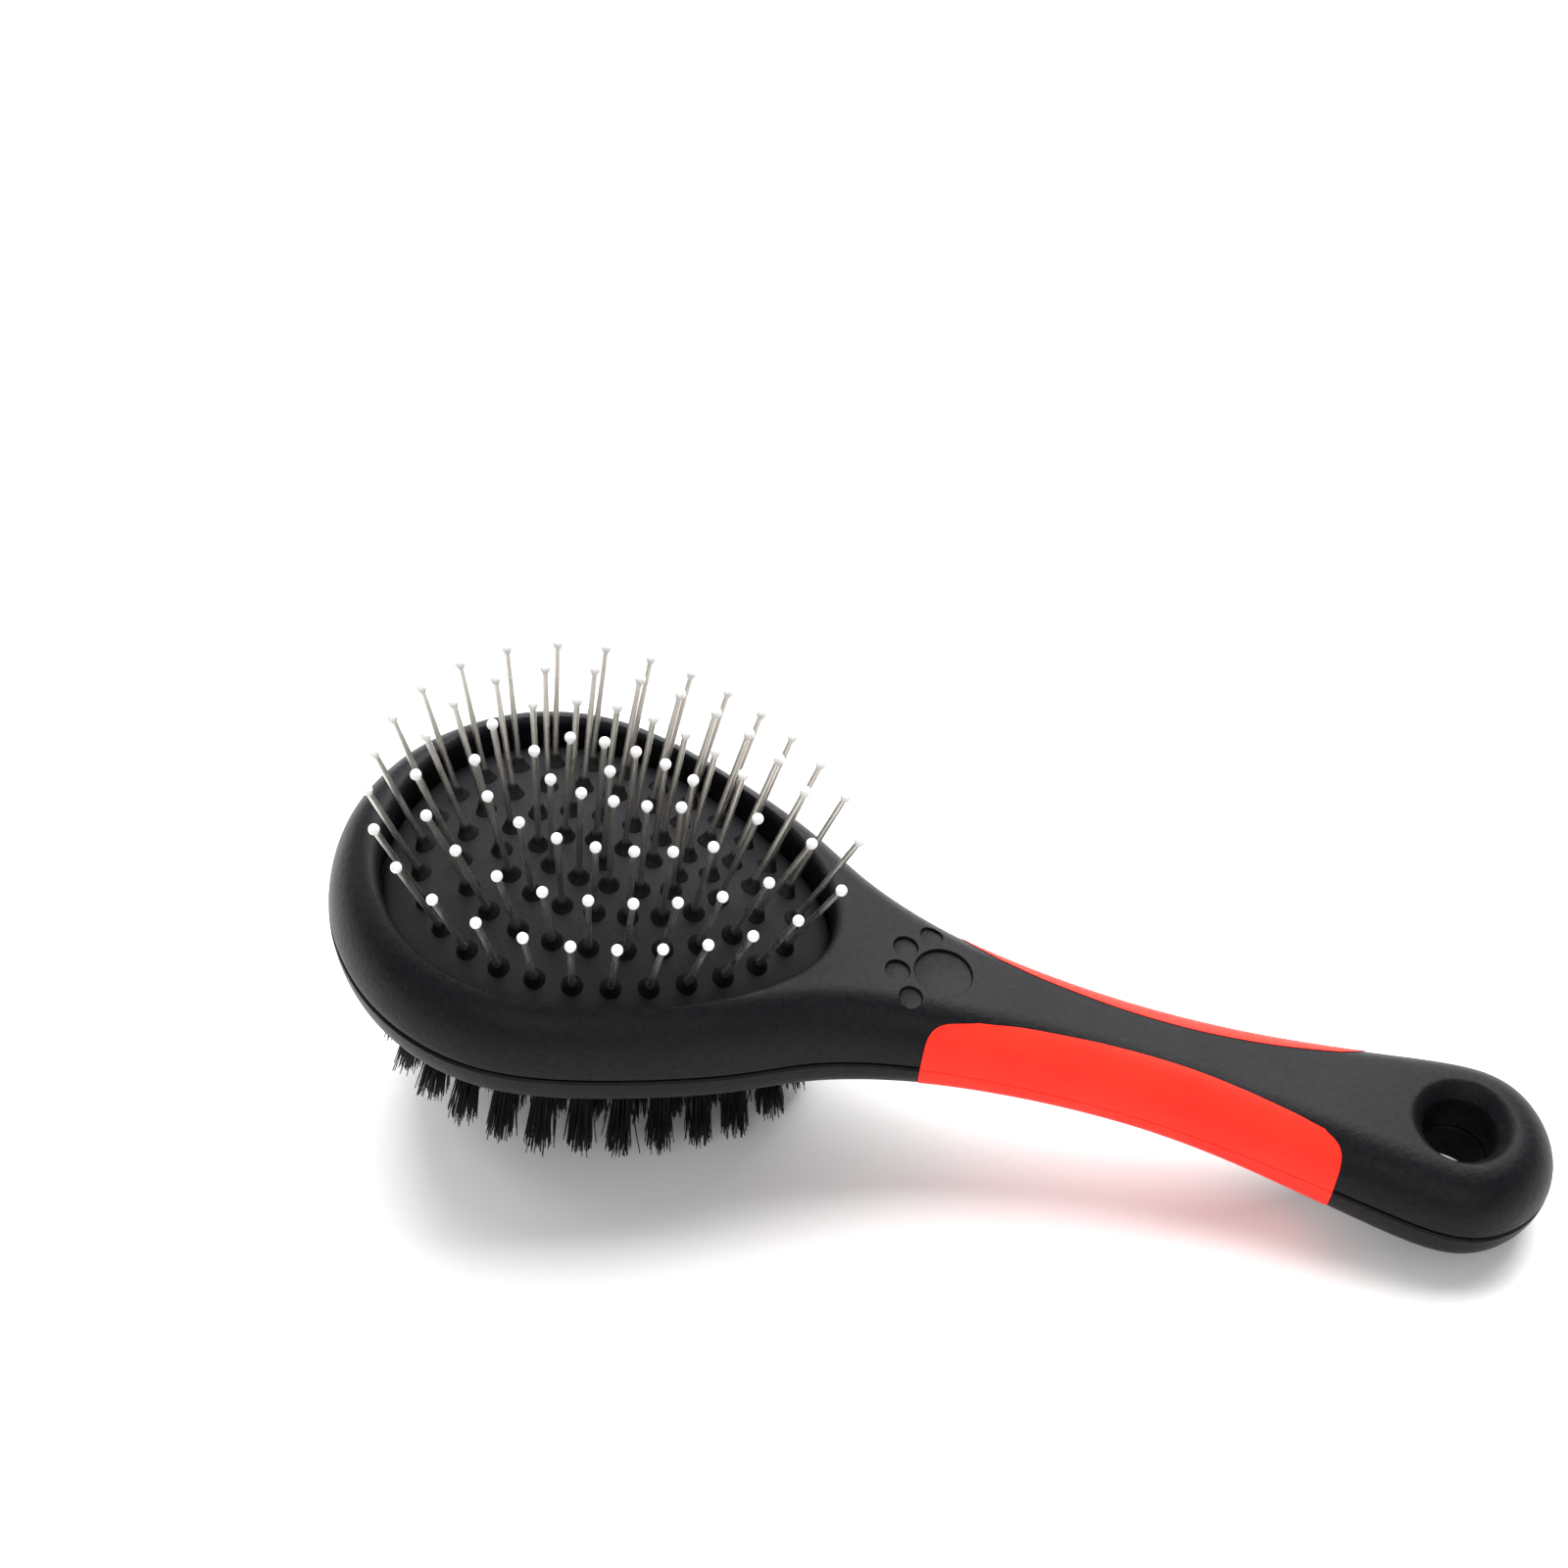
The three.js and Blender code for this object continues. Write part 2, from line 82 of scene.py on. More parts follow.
# ------------------------------------------------------------------ shape tables, as in the CAD
OUTLINE = np.array([
    [0, 0], [0.9, 8], [4, 17], [9.5, 25.4], [18, 33.2], [29, 38.4], [39, 39.9], [50, 38.5], [61, 35.1],
    [72, 30.7], [83, 25.3], [93, 19.5], [103, 15.6], [114, 13.1], [127, 11.4], [146, 10.5], [162, 11.3],
    [176, 13.05], [188, 14.9], [198, 16.45], [204.5, 16.75], [210.5, 15.2], [215.5, 11.3], [218.9, 5.7], [220, 0]], float)
TOP_Z = np.array([[-20, 13.2], [82, 13.2], [97, 12.1], [110, 10.5], [125, 9.8], [140, 9.4], [170, 9.2], [188, 9.9], [196, 10.3], [250, 10.3]], float)
BOTTOM_Z = np.array([[-20, 11], [92, 11], [100, 10.5], [112, 9.2], [130, 8], [150, 7.4], [165, 8], [180, 9.6], [194, 10.6], [250, 10.6]], float)
STRIP = np.array([[111.2, 12.6], [111.35, 11.7], [111.8, 10.85], [112.5, 10.1], [113.5, 9.45], [114.7, 8.95], [116.4, 8.4], [119, 7.55], [126, 5.9], [133, 5], [140, 4.3], [147, 4], [154, 4.1], [160, 4.6], [167, 5.6], [173, 6.8], [178, 8], [180.2, 8.8], [182.0, 9.7], [183.3, 10.7], [184.1, 11.9], [184.4, 13.2]], float)
EDGE = 8.1
OPEN_CX, OPEN_A, OPEN_B, EGG = 50.0, 40.4, 31.5, 0.24
PAD_EDGE_Z, PAD_TOP_Z, PAD_THICK = 6.4, 14.3, 2.0
PIN_OUT, PIN_R, BALL_R = 24.6, 0.55, 1.0
HOLE_X, HOLE_R, SINK_R = 202.4, 6.5, 8.3
FACE_Z, TIP_Z = -11.0, -31.5
TUFT_ROOT_R, TUFT_TIP_R = 1.45, 2.15
PIN_RINGS = [("outer", -7.0, 28, 0.5, 23.0, 4), ("second", -13.9, 22, 0.0, 20.0, 3), ("third", -20.7, 17, 0.5, 12.5, 2), ("centre", -27.0, 11, 0.0, 4.0, 1)]
TUFT_RINGS = [("outer", -6.3, 28, 0.0, 10.0, 4), ("second", -13.0, 22, 0.5, 7.0, 3), ("third", -19.7, 16, 0.0, 4.0, 2), ("centre", -26.0, 10, 0.5, 2.0, 1)]

_w = np.exp(-0.5 * (np.linspace(-2, 2, 17)) ** 2)
_w /= _w.sum()


def crown(side, x):
    """Smoothed crown height of one face at x."""
    t = TOP_Z if side > 0 else BOTTOM_Z
    x = np.asarray(x, float)
    return sum(w * np.interp(x + d, t[:, 0], t[:, 1]) for w, d in zip(_w, np.linspace(-9, 9, 17)))


def closed_spline(points, n):
    """Periodic cubic spline through points, resampled to n points of equal arc length."""
    p = np.asarray(points, float)
    k = len(p)
    h = np.hypot(*(np.roll(p, -1, 0) - p).T)
    a = np.zeros((k, k))
    rhs = np.zeros((k, 2))
    for i in range(k):
        hp, hi = h[i - 1], h[i]
        a[i, i - 1] += hp
        a[i, i] += 2 * (hp + hi)
        a[i, (i + 1) % k] += hi
        rhs[i] = 6 * ((p[(i + 1) % k] - p[i]) / hi - (p[i] - p[i - 1]) / hp)
    s = np.linalg.solve(a, rhs)
    out = []
    for i in range(k):
        j = (i + 1) % k
        t = np.linspace(0, h[i], 60, endpoint=False)[:, None]
        out.append(s[i] * (h[i] - t) ** 3 / (6 * h[i]) + s[j] * t ** 3 / (6 * h[i])
                   + (p[i] / h[i] - s[i] * h[i] / 6) * (h[i] - t) + (p[j] / h[i] - s[j] * h[i] / 6) * t)
    d = np.vstack(out)
    d = np.vstack([d, d[:1]])
    c = np.concatenate([[0], np.cumsum(np.hypot(*np.diff(d, axis=0).T))])
    want = np.linspace(0, c[-1], n, endpoint=False)
    return np.stack([np.interp(want, c, d[:, 0]), np.interp(want, c, d[:, 1])], 1)


def outline_ring(n):
    ring = closed_spline(np.vstack([OUTLINE, OUTLINE[-2:0:-1] * [1, -1]]), n)
    half = n // 2
    upper = ring[:half + 1].copy()
    upper[0, 1] = upper[-1, 1] = 0
    ring = np.vstack([upper, upper[-2:0:-1] * [1, -1]])
    t = np.roll(ring, -1, 0) - np.roll(ring, 1, 0)
    t /= np.hypot(*t.T)[:, None]
    return ring, np.stack([t[:, 1], -t[:, 0]], 1)


def mesh_object(name, verts, faces, mm=True):
    me = bpy.data.meshes.new(name)
    v = np.asarray(verts, float)
    if mm:
        v = (v + ORIGIN) / 1000.0
    me.from_pydata(v.tolist(), [], [list(f) for f in faces])
    me.update()
    o = bpy.data.objects.new(name, me)
    bpy.context.scene.collection.objects.link(o)
    return o


def fix_normals(o):
    import bmesh
    bm = bmesh.new()
    bm.from_mesh(o.data)
    bmesh.ops.recalc_face_normals(bm, faces=bm.faces)
    if bm.calc_volume(signed=True) < 0:
        bmesh.ops.reverse_faces(bm, faces=bm.faces)
    bm.to_mesh(o.data)
    bm.free()


def ring_faces(a, b, n):
    return [(a + i, a + (i + 1) % n, b + (i + 1) % n, b + i) for i in range(n)]


def lattice_cap(rim, zf, cols):
    """Points and faces that close a symmetric ring across its width; rim is (n,3), zf gives z at x (None keeps the rim's)."""
    n = len(rim)
    half = n // 2
    idx = np.zeros((half + 1, cols + 1), int)
    pts, base = [], n
    for i in range(1, half):
        a, b = rim[i], rim[n - i]
        idx[i, 0], idx[i, cols] = i, n - i
        for c in range(1, cols):
            f = c / cols
            p = a * (1 - f) + b * f
            if zf is not None:
                p = np.array([p[0], p[1], zf(p[0])])
            idx[i, c] = base + len(pts)
            pts.append(p)
    faces = []
    for i in range(1, half - 1):
        for c in range(cols):
            faces.append((idx[i, c], idx[i + 1, c], idx[i + 1, c + 1], idx[i, c + 1]))
    faces.append(tuple([0] + [idx[1, c] for c in range(cols + 1)]))
    faces.append(tuple([half] + [idx[half - 1, c] for c in range(cols, -1, -1)]))
    return pts, faces


def half_body(name, side, off, n=360, steps=16, groove=((1.15, 0.0), (0.36, 0.04), (0.1, 0.3)), base=0.27, cols=22, crease=False):
    """One half of the brush body as a closed solid. off shrinks it evenly."""
    ring, normal = outline_ring(n)
    prof = []
    if groove:
        prof += [(k + off, None, base + z) for k, z in groove]
        start = 0.065
    else:
        prof += [(off, None, base)]
        start = 0.09
    for k in range(steps + 1):
        t = start + (math.pi / 2 - start) * k / steps
        prof.append((off + (EDGE - off) * (1 - math.cos(t)), math.sin(t), None))
    rings = []
    for d, frac, z in prof:
        p = ring + normal * d
        p[:, 1] = np.where(np.abs(ring[:, 1]) < 1e-9, 0, p[:, 1])
        h = np.full(len(p), z) if frac is None else (crown(side, p[:, 0]) - off) * frac
        if crease and frac is not None:
            fade = np.clip((108 - p[:, 0]) / 16, 0, 1)
            h = h - 1.15 * frac ** 6 * fade * fade * (3 - 2 * fade)
        rings.append(np.column_stack([p, side * h]))
    if crease:
        # step up from the rounded edge to the raised bristle face
        for d, lift in ((8.9, 0.0), (9.6, 0.12), (10.1, 0.45), (10.5, 0.85), (11.0, 1.1), (11.9, 1.15)):
            dd = np.full(n, d)
            limit = np.maximum(np.abs(ring[:, 1]) * 0.86, 0) + np.where((ring[:, 0] < 30) | (ring[:, 0] > 200), 99, 0)
            dd = np.minimum(dd, np.maximum(limit, EDGE + 0.02 + (d - EDGE) * 0.1))
            p = ring + normal * dd[:, None]
            p[:, 1] = np.where(np.abs(ring[:, 1]) < 1e-9, 0, p[:, 1])
            fade = np.clip((108 - p[:, 0]) / 16, 0, 1)
            fade = fade * fade * (3 - 2 * fade)
            rings.append(np.column_stack([p, side * (crown(side, p[:, 0]) - off - (1.15 - lift) * fade)]))
    verts = [p for r in rings for p in r]
    faces = []
    for r in range(len(rings) - 1):
        faces += ring_faces(r * n, (r + 1) * n, n)
    faces.append(tuple(range(n)))
    top = len(verts) - n
    pts, cap = lattice_cap(rings[-1], lambda x: side * (crown(side, x) - off), cols)
    faces += [tuple(top + q for q in f) for f in cap]
    verts += pts
    o = mesh_object(name, np.array(verts), faces)
    fix_normals(o)
    return o


def stack_solid(name, rings):
    """Closed solid from rings of equal length, ends filled."""
    n = len(rings[0])
    faces = []
    for r in range(len(rings) - 1):
        faces += ring_faces(r * n, (r + 1) * n, n)
    faces += [tuple(range(n)), tuple(range((len(rings) - 1) * n, len(rings) * n))]
    o = mesh_object(name, np.vstack(rings), faces)
    fix_normals(o)
    return o


def prism(name, plan, z0, z1):
    p = np.asarray(plan, float)
    return stack_solid(name, [np.column_stack([p, np.full(len(p), z)]) for z in (z0, z1)])


def egg(off, n, t=None):
    t = np.linspace(0, 2 * math.pi, n, endpoint=False) if t is None else t
    return np.stack([OPEN_CX - (OPEN_A + off) * np.cos(t), (OPEN_B + off) * np.sin(t) * (1 + EGG * np.cos(t))], 1)


def boolean(o, cutter, op="DIFFERENCE"):
    mod = o.modifiers.new("cut", "BOOLEAN")
    mod.operation = op
    mod.object = cutter
    try:
        mod.solver = "MANIFOLD"
    except TypeError:
        mod.solver = "EXACT"
    deps = bpy.context.evaluated_depsgraph_get()
    me = bpy.data.meshes.new_from_object(o.evaluated_get(deps))
    if len(me.polygons) < 4:
        mod.solver = "EXACT"
        deps = bpy.context.evaluated_depsgraph_get()
        me = bpy.data.meshes.new_from_object(o.evaluated_get(deps))
    o.modifiers.remove(mod)
    old = o.data
    o.data = me
    bpy.data.meshes.remove(old)
    bpy.data.objects.remove(cutter)
    return o


def smooth(o, angle=32):
    for p in o.data.polygons:
        p.use_smooth = True
    o.data.set_sharp_from_angle(angle=math.radians(angle))


def join(name, parts):
    """One object from (verts, faces) lists in mm."""
    v, f, k = [], [], 0
    for verts, faces in parts:
        v.append(np.asarray(verts))
        f += [tuple(i + k for i in face) for face in faces]
        k += len(verts)
    return mesh_object(name, np.vstack(v), f)


# ------------------------------------------------------------------ materials
def new_material(name):
    mat = bpy.data.materials.new(name)
    mat.use_nodes = True
    nt = mat.node_tree
    bsdf = nt.nodes["Principled BSDF"]
    coord = nt.nodes.new("ShaderNodeTexCoord")
    return mat, nt, bsdf, coord


def noise(nt, coord, scale, detail=2.0, rough=0.5, stretch=None):
    t = nt.nodes.new("ShaderNodeTexNoise")
    t.inputs["Scale"].default_value = scale
    t.inputs["Detail"].default_value = detail
    t.inputs["Roughness"].default_value = rough
    if stretch:
        mp = nt.nodes.new("ShaderNodeMapping")
        mp.inputs["Scale"].default_value = stretch
        nt.links.new(coord.outputs["Object"], mp.inputs["Vector"])
        nt.links.new(mp.outputs["Vector"], t.inputs["Vector"])
    else:
        nt.links.new(coord.outputs["Object"], t.inputs["Vector"])
    return t


def ramp(nt, src, lo, hi, p0=0.3, p1=0.7):
    r = nt.nodes.new("ShaderNodeValToRGB")
    r.color_ramp.elements[0].position, r.color_ramp.elements[1].position = p0, p1
    r.color_ramp.elements[0].color = (*lo, 1)
    r.color_ramp.elements[1].color = (*hi, 1)
    nt.links.new(src, r.inputs["Fac"])
    return r


def value_range(nt, src, lo, hi):
    r = nt.nodes.new("ShaderNodeMapRange")
    r.inputs["From Min"].default_value, r.inputs["From Max"].default_value = 0.3, 0.7
    r.inputs["To Min"].default_value, r.inputs["To Max"].default_value = lo, hi
    nt.links.new(src, r.inputs["Value"])
    return r


def bump(nt, bsdf, heights, strength=1.0, distance=0.00003):
    """heights: list of (socket, weight)."""
    acc = None
    for sock, weight in heights:
        mul = nt.nodes.new("ShaderNodeMath")
        mul.operation = "MULTIPLY"
        mul.inputs[1].default_value = weight
        nt.links.new(sock, mul.inputs[0])
        if acc is None:
            acc = mul.outputs[0]
        else:
            add = nt.nodes.new("ShaderNodeMath")
            add.operation = "ADD"
            nt.links.new(acc, add.inputs[0])
            nt.links.new(mul.outputs[0], add.inputs[1])
            acc = add.outputs[0]
    b = nt.nodes.new("ShaderNodeBump")
    b.inputs["Strength"].default_value = strength
    b.inputs["Distance"].default_value = distance
    nt.links.new(acc, b.inputs["Height"])
    nt.links.new(b.outputs["Normal"], bsdf.inputs["Normal"])


def plastic_material():
    mat, nt, bsdf, co = new_material("textured_black_plastic")
    fine, grain, cloud = noise(nt, co, 2600, 2), noise(nt, co, 900, 3, 0.6), noise(nt, co, 38, 3)
    col = ramp(nt, grain.outputs["Fac"], (0.0024, 0.0024, 0.0033), (0.0066, 0.0066, 0.0082))
    mix = nt.nodes.new("ShaderNodeMix")
    mix.data_type = "RGBA"
    mix.blend_type = "MULTIPLY"
    mix.inputs["Factor"].default_value = 0.35
    tint = ramp(nt, cloud.outputs["Fac"], (0.72, 0.73, 0.76), (1.0, 1.0, 1.0))
    nt.links.new(col.outputs["Color"], mix.inputs["A"])
    nt.links.new(tint.outputs["Color"], mix.inputs["B"])
    nt.links.new(mix.outputs["Result"], bsdf.inputs["Base Color"])
    nt.links.new(value_range(nt, cloud.outputs["Fac"], 0.4, 0.5).outputs["Result"], bsdf.inputs["Roughness"])
    bsdf.inputs["Specular IOR Level"].default_value = 0.115
    bump(nt, bsdf, [(fine.outputs["Fac"], 0.55), (grain.outputs["Fac"], 1.0)], 1.0, 0.0001)
    return mat


def grip_material():
    mat, nt, bsdf, co = new_material("soft_red_grip")
    fine, cloud = noise(nt, co, 1500, 3), noise(nt, co, 55, 3)
    col = ramp(nt, cloud.outputs["Fac"], (0.98, 0.020, 0.0075), (1.0, 0.029, 0.012))
    nt.links.new(col.outputs["Color"], bsdf.inputs["Base Color"])
    nt.links.new(value_range(nt, fine.outputs["Fac"], 0.48, 0.6).outputs["Result"], bsdf.inputs["Roughness"])
    bsdf.inputs["Specular IOR Level"].default_value = 0.2
    bump(nt, bsdf, [(fine.outputs["Fac"], 1.0), (cloud.outputs["Fac"], 1.5)], 0.5, 0.00003)
    return mat


def rubber_material():
    mat, nt, bsdf, co = new_material("black_cushion_rubber")
    fine, cloud = noise(nt, co, 1800, 3, 0.6), noise(nt, co, 70, 3)
    col = ramp(nt, cloud.outputs["Fac"], (0.0060, 0.0060, 0.0072), (0.0115, 0.0115, 0.0132))
    nt.links.new(col.outputs["Color"], bsdf.inputs["Base Color"])
    nt.links.new(value_range(nt, fine.outputs["Fac"], 0.55, 0.7).outputs["Result"], bsdf.inputs["Roughness"])
    bsdf.inputs["Specular IOR Level"].default_value = 0.15
    bump(nt, bsdf, [(fine.outputs["Fac"], 1.0)], 0.9, 0.00007)
    return mat


# painted shade: the bosses are the same rubber as the pad, painted about half as dark to stand in for their shaded
# sides
def boss_painted_shade_material():
    mat, nt, bsdf, co = new_material("boss_rubber_painted_shade")
    fine = noise(nt, co, 1500, 3, 0.6)
    col = ramp(nt, fine.outputs["Fac"], (0.0022, 0.0022, 0.0024), (0.0058, 0.0058, 0.0063))
    nt.links.new(col.outputs["Color"], bsdf.inputs["Base Color"])
    nt.links.new(value_range(nt, fine.outputs["Fac"], 0.45, 0.6).outputs["Result"], bsdf.inputs["Roughness"])
    bsdf.inputs["Specular IOR Level"].default_value = 0.14
    bump(nt, bsdf, [(fine.outputs["Fac"], 1.0)], 0.5, 0.00004)
    return mat


def steel_material():
    mat, nt, bsdf, co = new_material("drawn_steel_wire")
    streak = noise(nt, co, 600, 2, 0.5, (1, 1, 0.05))
    col = ramp(nt, streak.outputs["Fac"], (0.60, 0.58, 0.54), (0.70, 0.68, 0.64))
    nt.links.new(col.outputs["Color"], bsdf.inputs["Base Color"])
    bsdf.inputs["Metallic"].default_value = 1.0
    nt.links.new(value_range(nt, streak.outputs["Fac"], 0.27, 0.34).outputs["Result"], bsdf.inputs["Roughness"])
    return mat


def bead_material():
    mat, nt, bsdf, co = new_material("white_bead_nylon")
    cloud = noise(nt, co, 700, 2)
    col = ramp(nt, cloud.outputs["Fac"], (0.72, 0.72, 0.705), (0.8, 0.8, 0.785))
    nt.links.new(col.outputs["Color"], bsdf.inputs["Base Color"])
    nt.links.new(value_range(nt, cloud.outputs["Fac"], 0.24, 0.34).outputs["Result"], bsdf.inputs["Roughness"])
    bump(nt, bsdf, [(cloud.outputs["Fac"], 1.0)], 0.3, 0.00002)
    return mat


def nylon_material():
    mat, nt, bsdf, co = new_material("black_nylon_filament")
    streak = noise(nt, co, 1500, 3, 0.6, (1, 1, 0.05))
    col = ramp(nt, streak.outputs["Fac"], (0.0022, 0.0022, 0.0024), (0.0065, 0.0065, 0.007))
    nt.links.new(col.outputs["Color"], bsdf.inputs["Base Color"])
    nt.links.new(value_range(nt, streak.outputs["Fac"], 0.3, 0.45).outputs["Result"], bsdf.inputs["Roughness"])
    bsdf.inputs["Specular IOR Level"].default_value = 0.09
    return mat


PLASTIC, GRIP, RUBBER, BOSS_PAINTED_SHADE, STEEL, BEAD, NYLON = (plastic_material(), grip_material(), rubber_material(), boss_painted_shade_material(), steel_material(), bead_material(), nylon_material())


def dress(o, mat, body, slot, *nodes):
    o.data.materials.clear()
    o.data.materials.append(mat)
    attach(o, body)
    if nodes:
        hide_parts(*nodes)
    return o


# ------------------------------------------------------------------ ring layout, as in the CAD
def pad_z(off):
    s = max(0.0, 1 + off / OPEN_B)
    return PAD_EDGE_Z + (PAD_TOP_Z - PAD_EDGE_Z) * (1 - s * s)


def spaced(off, count, phase):
    p = egg(off, 720)
    q = np.vstack([p, p[:1]])
    c = np.concatenate([[0], np.cumsum(np.hypot(*np.diff(q, axis=0).T))])
    out = []
    for k in range(count):
        want = (((k + phase) / count) % 1) * c[-1]
        i = max(1, int(np.searchsorted(c, want)))
        f = (want - c[i - 1]) / (c[i] - c[i - 1])
        a, b = q[i - 1], q[i]
        x, y = a + (b - a) * f
        t = (b - a) / np.hypot(*(b - a))
        out.append((x, y, -t[1], t[0]))
    return out


def arcs(n, parts):
    js = [int(math.floor(i * n / parts + 0.5)) for i in range(parts + 1)]
    return [list(range(js[i], js[i + 1])) for i in range(parts)]


def tube(points, radii, sides, turn=0.0):
    """Closed tube along a straight-ish chain, as (verts, faces)."""
    pts = np.asarray(points, float)
    d = Vector(pts[-1] - pts[0]).normalized()
    u = Vector((0, 1, 0)).cross(d)
    u = u.normalized() if u.length > 1e-6 else Vector((1, 0, 0))
    v = d.cross(u)
    u, v = np.array(u), np.array(v)
    verts, faces = [], []
    for c, r in zip(pts, radii):
        for i in range(sides):
            t = 2 * math.pi * i / sides + turn
            verts.append(c + r * (u * math.cos(t) + v * math.sin(t)))
    for k in range(len(pts) - 1):
        faces += ring_faces(k * sides, (k + 1) * sides, sides)
    faces += [tuple(range(sides - 1, -1, -1)), tuple(range((len(pts) - 1) * sides, len(pts) * sides))]
    return np.array(verts), faces


# ------------------------------------------------------------------ shells
def paw_cutters(side):
    edge_ring, _ = outline_ring(1600)
    out = []
    for cx, cy, r in ((110.7, 0, 5.1), (103.1, 2.75, 2.15), (103.1, -2.75, 2.15), (106.7, 7.2, 2.0), (106.7, -7.2, 2.0)):
        t = np.linspace(0, 2 * math.pi, 56, endpoint=False)

        def surface(x, y):
            d = np.sqrt(((edge_ring[None, :, :] - np.stack([x, y], 1)[:, None, :]) ** 2).sum(2)).min(1)
            c = np.clip(1 - d / EDGE, 0, 1)
            return crown(side, x) * np.sqrt(1 - c ** 2)

        # flat floor that tips with the surface under the disc
        gx = (surface(np.array([cx + r]), np.array([cy])) - surface(np.array([cx - r]), np.array([cy])))[0] / (2 * r)
        gy = (surface(np.array([cx]), np.array([cy + r])) - surface(np.array([cx]), np.array([cy - r])))[0] / (2 * r)
        mid = surface(np.array([cx]), np.array([cy]))[0]
        rings = []
        for rr, dz in ((r - 0.2, -0.72), (r - 0.06, -0.66), (r, -0.5)):
            x, y = cx + rr * np.cos(t), cy + rr * np.sin(t)
            rings.append(np.column_stack([x, y, side * (np.minimum(mid + gx * (x - cx) + gy * (y - cy), surface(x, y) + 0.1) + dz)]))
        for rr, dz in ((r + 0.03, -0.12), (r + 0.12, -0.02), (r + 0.26, 0.08), (r + 0.6, 0.6)):
            x, y = cx + rr * np.cos(t), cy + rr * np.sin(t)
            rings.append(np.column_stack([x, y, side * (surface(x, y) + dz)]))
        out.append(stack_solid(f"paw_cut_{len(out)}", rings))
    return out


def grip_plan(sy, g):
    s = STRIP.copy()
    xs = np.concatenate([s[0, 0] + (s[7, 0] - s[0, 0]) * np.linspace(0, 1, 36) ** 2, np.linspace(s[7, 0], s[-5, 0], 46)[1:], s[-5, 0] + (s[-1, 0] - s[-5, 0]) * (1 - (1 - np.linspace(0, 1, 30)) ** 2)[1:]])
    ys = np.interp(xs, s[:, 0], s[:, 1])
    k = np.array([1, 2, 3, 2, 1.0])
    k /= k.sum()
    sm = np.convolve(np.pad(ys, 2, mode="edge"), k, mode="valid")
    ys = sm
    p = np.stack([xs, ys], 1)
    t = np.gradient(p, axis=0)
    t /= np.hypot(*t.T)[:, None]
    p = p + np.stack([-t[:, 1], t[:, 0]], 1) * g
    p = p[(p[:, 0] >= s[0, 0] + g) & (p[:, 0] <= s[-1, 0] - g)]
    lo, hi = s[0, 0] + g, s[-1, 0] - g
    p = np.vstack([[lo, p[0, 1] + 0.4], p, [hi, p[-1, 1] + 0.4], [hi, 30], [lo, 30]])
    return p * [1, sy]


def make_shell(name, side):
    o = half_body(name, side, 0.0, n=420, steps=18, cols=26, crease=side < 0)
    cavity = half_body("cavity", side, 2.4, n=120, steps=8, groove=None, base=-1.0, cols=8)
    limit = prism("limit", [(-5, -60), (92, -60), (92, 60), (-5, 60)], -40, 40)
    boolean(cavity, limit, "INTERSECT")
    boolean(o, cavity)
    if side > 0:
        n = 260
        skirt = stack_solid("skirt", [np.column_stack([egg(2.2, n), np.full(n, z)]) for z in (4.5, 10.5)])
        boolean(o, skirt, "UNION")
        rings = []
        for off, dz in ((0, -30.0), (0, -1.8), (0.09, -1.25), (0.32, -0.75), (0.7, -0.36), (1.2, -0.12), (1.9, 0.03), (3.6, 0.9)):
            p = egg(off, n)
            z = crown(1, p[:, 0]) + dz
            rings.append(np.column_stack([p, np.maximum(z, -5) if dz < -20 else z]))
        rings[0][:, 2] = -5
        boolean(o, stack_solid("opening", rings))
    else:
        parts = []
        for _, off, count, phase, lean, _ in TUFT_RINGS:
            for x, y, _, _ in spaced(off, count, phase):
                parts.append(tube([(x, y, FACE_Z - 1.0), (x, y, FACE_Z - 0.02), (x, y, FACE_Z + 0.2), (x, y, FACE_Z + 4)], (2.2, 1.9, 1.72, 1.72), 20))
        for x in (OPEN_CX - 4.5, OPEN_CX + 3.5):
            parts.append(tube([(x, 0, FACE_Z - 1.0), (x, 0, FACE_Z - 0.02), (x, 0, FACE_Z + 0.2), (x, 0, FACE_Z + 4)], (2.2, 1.9, 1.72, 1.72), 20))
        cut = join("tuft_holes", parts)
        fix_normals(cut)
        boolean(o, cut)
    t = np.linspace(0, 2 * math.pi, 96, endpoint=False)
    zc = float(crown(side, HOLE_X))
    rings = []
    for r, z in ((HOLE_R + 0.5, -3.0), (HOLE_R + 0.5, 0.14), (HOLE_R + 0.05, 0.6), (HOLE_R, 1.2), (HOLE_R, zc - 2.9), (HOLE_R + 0.25, zc - 2.45), (SINK_R - 0.2, zc - 0.75), (SINK_R + 0.15, zc - 0.35), (SINK_R + 0.75, zc - 0.02), (SINK_R + 1.8, zc + 0.3)):
        rings.append(np.column_stack([HOLE_X + r * np.cos(t), r * np.sin(t), np.full(96, side * z)]))
    boolean(o, stack_solid("hole", rings))
    for c in paw_cutters(side):
        boolean(o, c)
    for sy in (1, -1):
        pocket = prism("pocket", grip_plan(sy, 0.0), *((-1, 40) if side > 0 else (-40, 1)))
        core = half_body("core", side, 1.75, n=200, steps=10, groove=None, base=-2.0, cols=8)
        boolean(pocket, core)
        boolean(o, pocket)
    smooth(o)
    return o


top = dress(make_shell("pin_side_shell_skin", 1), PLASTIC, "brush_body", "shell_plastic", "pin_side_shell")
bottom = dress(make_shell("bristle_side_shell_skin", -1), PLASTIC, "brush_body", "shell_plastic", "bristle_side_shell")

